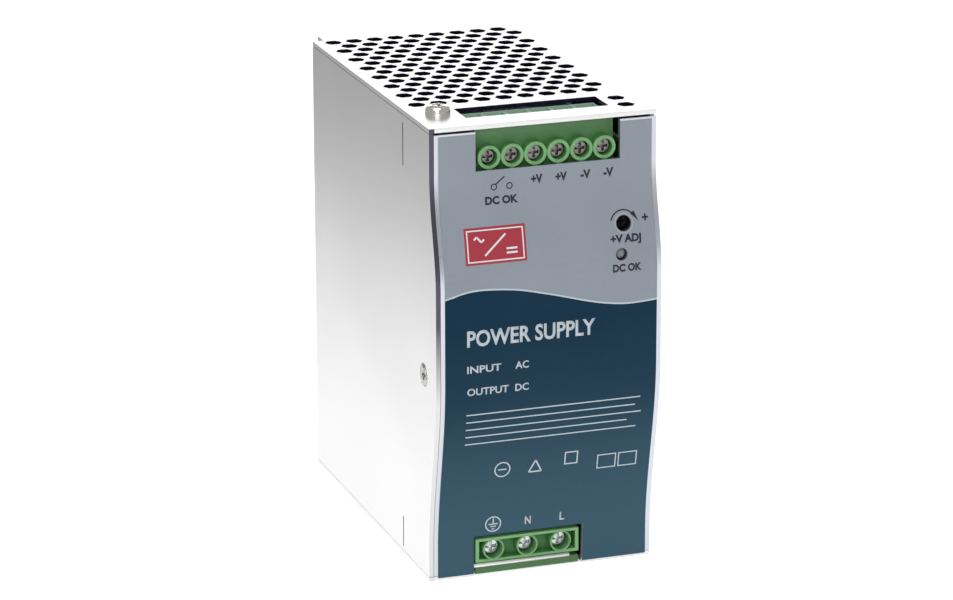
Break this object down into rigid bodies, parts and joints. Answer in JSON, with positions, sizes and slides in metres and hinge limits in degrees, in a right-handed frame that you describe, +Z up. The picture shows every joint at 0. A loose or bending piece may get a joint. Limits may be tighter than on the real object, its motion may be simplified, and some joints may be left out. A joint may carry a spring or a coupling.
{
  "type": "din rail power supply",
  "caption": "Slim sheet metal power supply that hooks onto a mounting rail, with vented top, wavy printed front and screw terminals at top and foot.",
  "frame": {"origin": "centre line of the mounting rail, on the plane that the rail's lips lie against, halfway across the case", "axes": "+Z up, +Y away from the front and into the rail, +X to the right seen from the front"},
  "size_m": [0.063, 0.1135, 0.1277],
  "materials": {
    "sheet_metal": "satin, bead brushed",
    "front_sheet": "satin",
    "label_film": "printed polycarbonate film",
    "screw_zinc": "bright nickel plate",
    "latch_steel": "zinc plate",
    "spring_steel": "oiled",
    "terminal_green": "moulded polyamide",
    "contact_tin": "tin plate",
    "board_green": "solder mask",
    "insulation": "thin film",
    "standoff_brass": "nickel free",
    "black_mould": "moulded epoxy",
    "heatsink_aluminium": "milled",
    "ferrite": "fired ferrite",
    "winding_tape": "polyester tape",
    "copper_wire": "enamelled copper",
    "cap_sleeve": "shrunk sleeve",
    "xcap_yellow": "moulded box",
    "trimmer_blue": "moulded",
    "rotor_dark": "moulded",
    "lamp_lens": "diffusing resin",
    "fuse_glass": "clear",
    "earth_green": "PVC"
  },
  "bodies": {
    "case": {"chassis": "sheet_metal", "side_cover": "sheet_metal", "front_panel": "front_sheet", "front_label": "label_film", "top_screw": "screw_zinc", "side_screw": "screw_zinc", "hidden_screws": "screw_zinc", "rail_bracket": "sheet_metal", "latch_spring": "spring_steel", "latch_rivets": "latch_steel", "insulation_sheet": "insulation", "main_board": "board_green", "board_standoffs": "standoff_brass", "board_screws": "screw_zinc", "output_board": "board_green", "input_board": "board_green", "control_board": "board_green", "output_terminal_block": "terminal_green", "output_pins": "contact_tin", "input_terminal_block": "terminal_green", "input_pins": "contact_tin", "input_retainer": "latch_steel", "trimmer_body": "trimmer_blue", "status_led": "lamp_lens", "dc_ok_relay": "black_mould", "line_fuse": "fuse_glass", "emi_choke": "copper_wire", "x_capacitor": "xcap_yellow", "bridge_rectifier": "black_mould", "boost_inductor": "ferrite", "bulk_capacitor": "cap_sleeve", "primary_heatsink": "heatsink_aluminium", "primary_transistors": "black_mould", "transformer_core": "ferrite", "transformer_winding": "winding_tape", "secondary_heatsink": "heatsink_aluminium", "output_rectifiers": "black_mould", "output_choke": "copper_wire", "output_capacitors": "cap_sleeve", "earth_lead": "earth_green"},
    "output_screw_1": {"output_screw_1": "screw_zinc"},
    "output_clamp_1": {"output_clamp_1": "contact_tin"},
    "output_screw_2": {"output_screw_2": "screw_zinc"},
    "output_clamp_2": {"output_clamp_2": "contact_tin"},
    "output_screw_3": {"output_screw_3": "screw_zinc"},
    "output_clamp_3": {"output_clamp_3": "contact_tin"},
    "output_screw_4": {"output_screw_4": "screw_zinc"},
    "output_clamp_4": {"output_clamp_4": "contact_tin"},
    "output_screw_5": {"output_screw_5": "screw_zinc"},
    "output_clamp_5": {"output_clamp_5": "contact_tin"},
    "output_screw_6": {"output_screw_6": "screw_zinc"},
    "output_clamp_6": {"output_clamp_6": "contact_tin"},
    "input_screw_1": {"input_screw_1": "screw_zinc"},
    "input_clamp_1": {"input_clamp_1": "contact_tin"},
    "input_screw_2": {"input_screw_2": "screw_zinc"},
    "input_clamp_2": {"input_clamp_2": "contact_tin"},
    "input_screw_3": {"input_screw_3": "screw_zinc"},
    "input_clamp_3": {"input_clamp_3": "contact_tin"},
    "trimmer_rotor": {"trimmer_rotor": "rotor_dark"},
    "rail_latch": {"rail_latch": "latch_steel"}
  },
  "joints": [
    {"name": "output_screw_1_turn", "type": "hinge", "parent": "case", "child": "output_screw_1", "pos_m": [-0.01475, -0.0988, 0.051], "axis": [0, 1, 0], "range_deg": [0, 2161]},
    {"name": "output_clamp_1_slide", "type": "slide", "parent": "case", "child": "output_clamp_1", "axis": [0, -1, 0], "range_m": [0, 0.0027]},
    {"name": "output_screw_2_turn", "type": "hinge", "parent": "case", "child": "output_screw_2", "pos_m": [-0.00835, -0.0988, 0.051], "axis": [0, 1, 0], "range_deg": [0, 2161]},
    {"name": "output_clamp_2_slide", "type": "slide", "parent": "case", "child": "output_clamp_2", "axis": [0, -1, 0], "range_m": [0, 0.0027]},
    {"name": "output_screw_3_turn", "type": "hinge", "parent": "case", "child": "output_screw_3", "pos_m": [-0.00195, -0.0988, 0.051], "axis": [0, 1, 0], "range_deg": [0, 2161]},
    {"name": "output_clamp_3_slide", "type": "slide", "parent": "case", "child": "output_clamp_3", "axis": [0, -1, 0], "range_m": [0, 0.0027]},
    {"name": "output_screw_4_turn", "type": "hinge", "parent": "case", "child": "output_screw_4", "pos_m": [0.00445, -0.0988, 0.051], "axis": [0, 1, 0], "range_deg": [0, 2161]},
    {"name": "output_clamp_4_slide", "type": "slide", "parent": "case", "child": "output_clamp_4", "axis": [0, -1, 0], "range_m": [0, 0.0027]},
    {"name": "output_screw_5_turn", "type": "hinge", "parent": "case", "child": "output_screw_5", "pos_m": [0.01085, -0.0988, 0.051], "axis": [0, 1, 0], "range_deg": [0, 2161]},
    {"name": "output_clamp_5_slide", "type": "slide", "parent": "case", "child": "output_clamp_5", "axis": [0, -1, 0], "range_m": [0, 0.0027]},
    {"name": "output_screw_6_turn", "type": "hinge", "parent": "case", "child": "output_screw_6", "pos_m": [0.01725, -0.0988, 0.051], "axis": [0, 1, 0], "range_deg": [0, 2161]},
    {"name": "output_clamp_6_slide", "type": "slide", "parent": "case", "child": "output_clamp_6", "axis": [0, -1, 0], "range_m": [0, 0.0027]},
    {"name": "input_screw_1_turn", "type": "hinge", "parent": "case", "child": "input_screw_1", "pos_m": [-0.01305, -0.0974, -0.0582], "axis": [0, 1, 0], "range_deg": [0, 2161]},
    {"name": "input_clamp_1_slide", "type": "slide", "parent": "case", "child": "input_clamp_1", "axis": [0, -1, 0], "range_m": [0, 0.003]},
    {"name": "input_screw_2_turn", "type": "hinge", "parent": "case", "child": "input_screw_2", "pos_m": [-0.0035, -0.0974, -0.0582], "axis": [0, 1, 0], "range_deg": [0, 2161]},
    {"name": "input_clamp_2_slide", "type": "slide", "parent": "case", "child": "input_clamp_2", "axis": [0, -1, 0], "range_m": [0, 0.003]},
    {"name": "input_screw_3_turn", "type": "hinge", "parent": "case", "child": "input_screw_3", "pos_m": [0.00605, -0.0974, -0.0582], "axis": [0, 1, 0], "range_deg": [0, 2161]},
    {"name": "input_clamp_3_slide", "type": "slide", "parent": "case", "child": "input_clamp_3", "axis": [0, -1, 0], "range_m": [0, 0.003]},
    {"name": "trimmer_turn", "type": "hinge", "parent": "case", "child": "trimmer_rotor", "pos_m": [0.0214, -0.1025, 0.0308], "axis": [0, 1, 0], "range_deg": [-135, 135]},
    {"name": "latch_pull", "type": "slide", "parent": "case", "child": "rail_latch", "axis": [0, 0, -1], "range_m": [0, 0.005], "stiffness_N_per_m": 800, "springref_m": -0.004, "deforming": ["latch_spring"]}
  ],
  "couplings": [
    {"joint": "output_screw_1_turn", "follows": "output_clamp_1_slide", "rad_per_m": 13963},
    {"joint": "output_screw_2_turn", "follows": "output_clamp_2_slide", "rad_per_m": 13963},
    {"joint": "output_screw_3_turn", "follows": "output_clamp_3_slide", "rad_per_m": 13963},
    {"joint": "output_screw_4_turn", "follows": "output_clamp_4_slide", "rad_per_m": 13963},
    {"joint": "output_screw_5_turn", "follows": "output_clamp_5_slide", "rad_per_m": 13963},
    {"joint": "output_screw_6_turn", "follows": "output_clamp_6_slide", "rad_per_m": 13963},
    {"joint": "input_screw_1_turn", "follows": "input_clamp_1_slide", "rad_per_m": 12566},
    {"joint": "input_screw_2_turn", "follows": "input_clamp_2_slide", "rad_per_m": 12566},
    {"joint": "input_screw_3_turn", "follows": "input_clamp_3_slide", "rad_per_m": 12566}
  ]
}
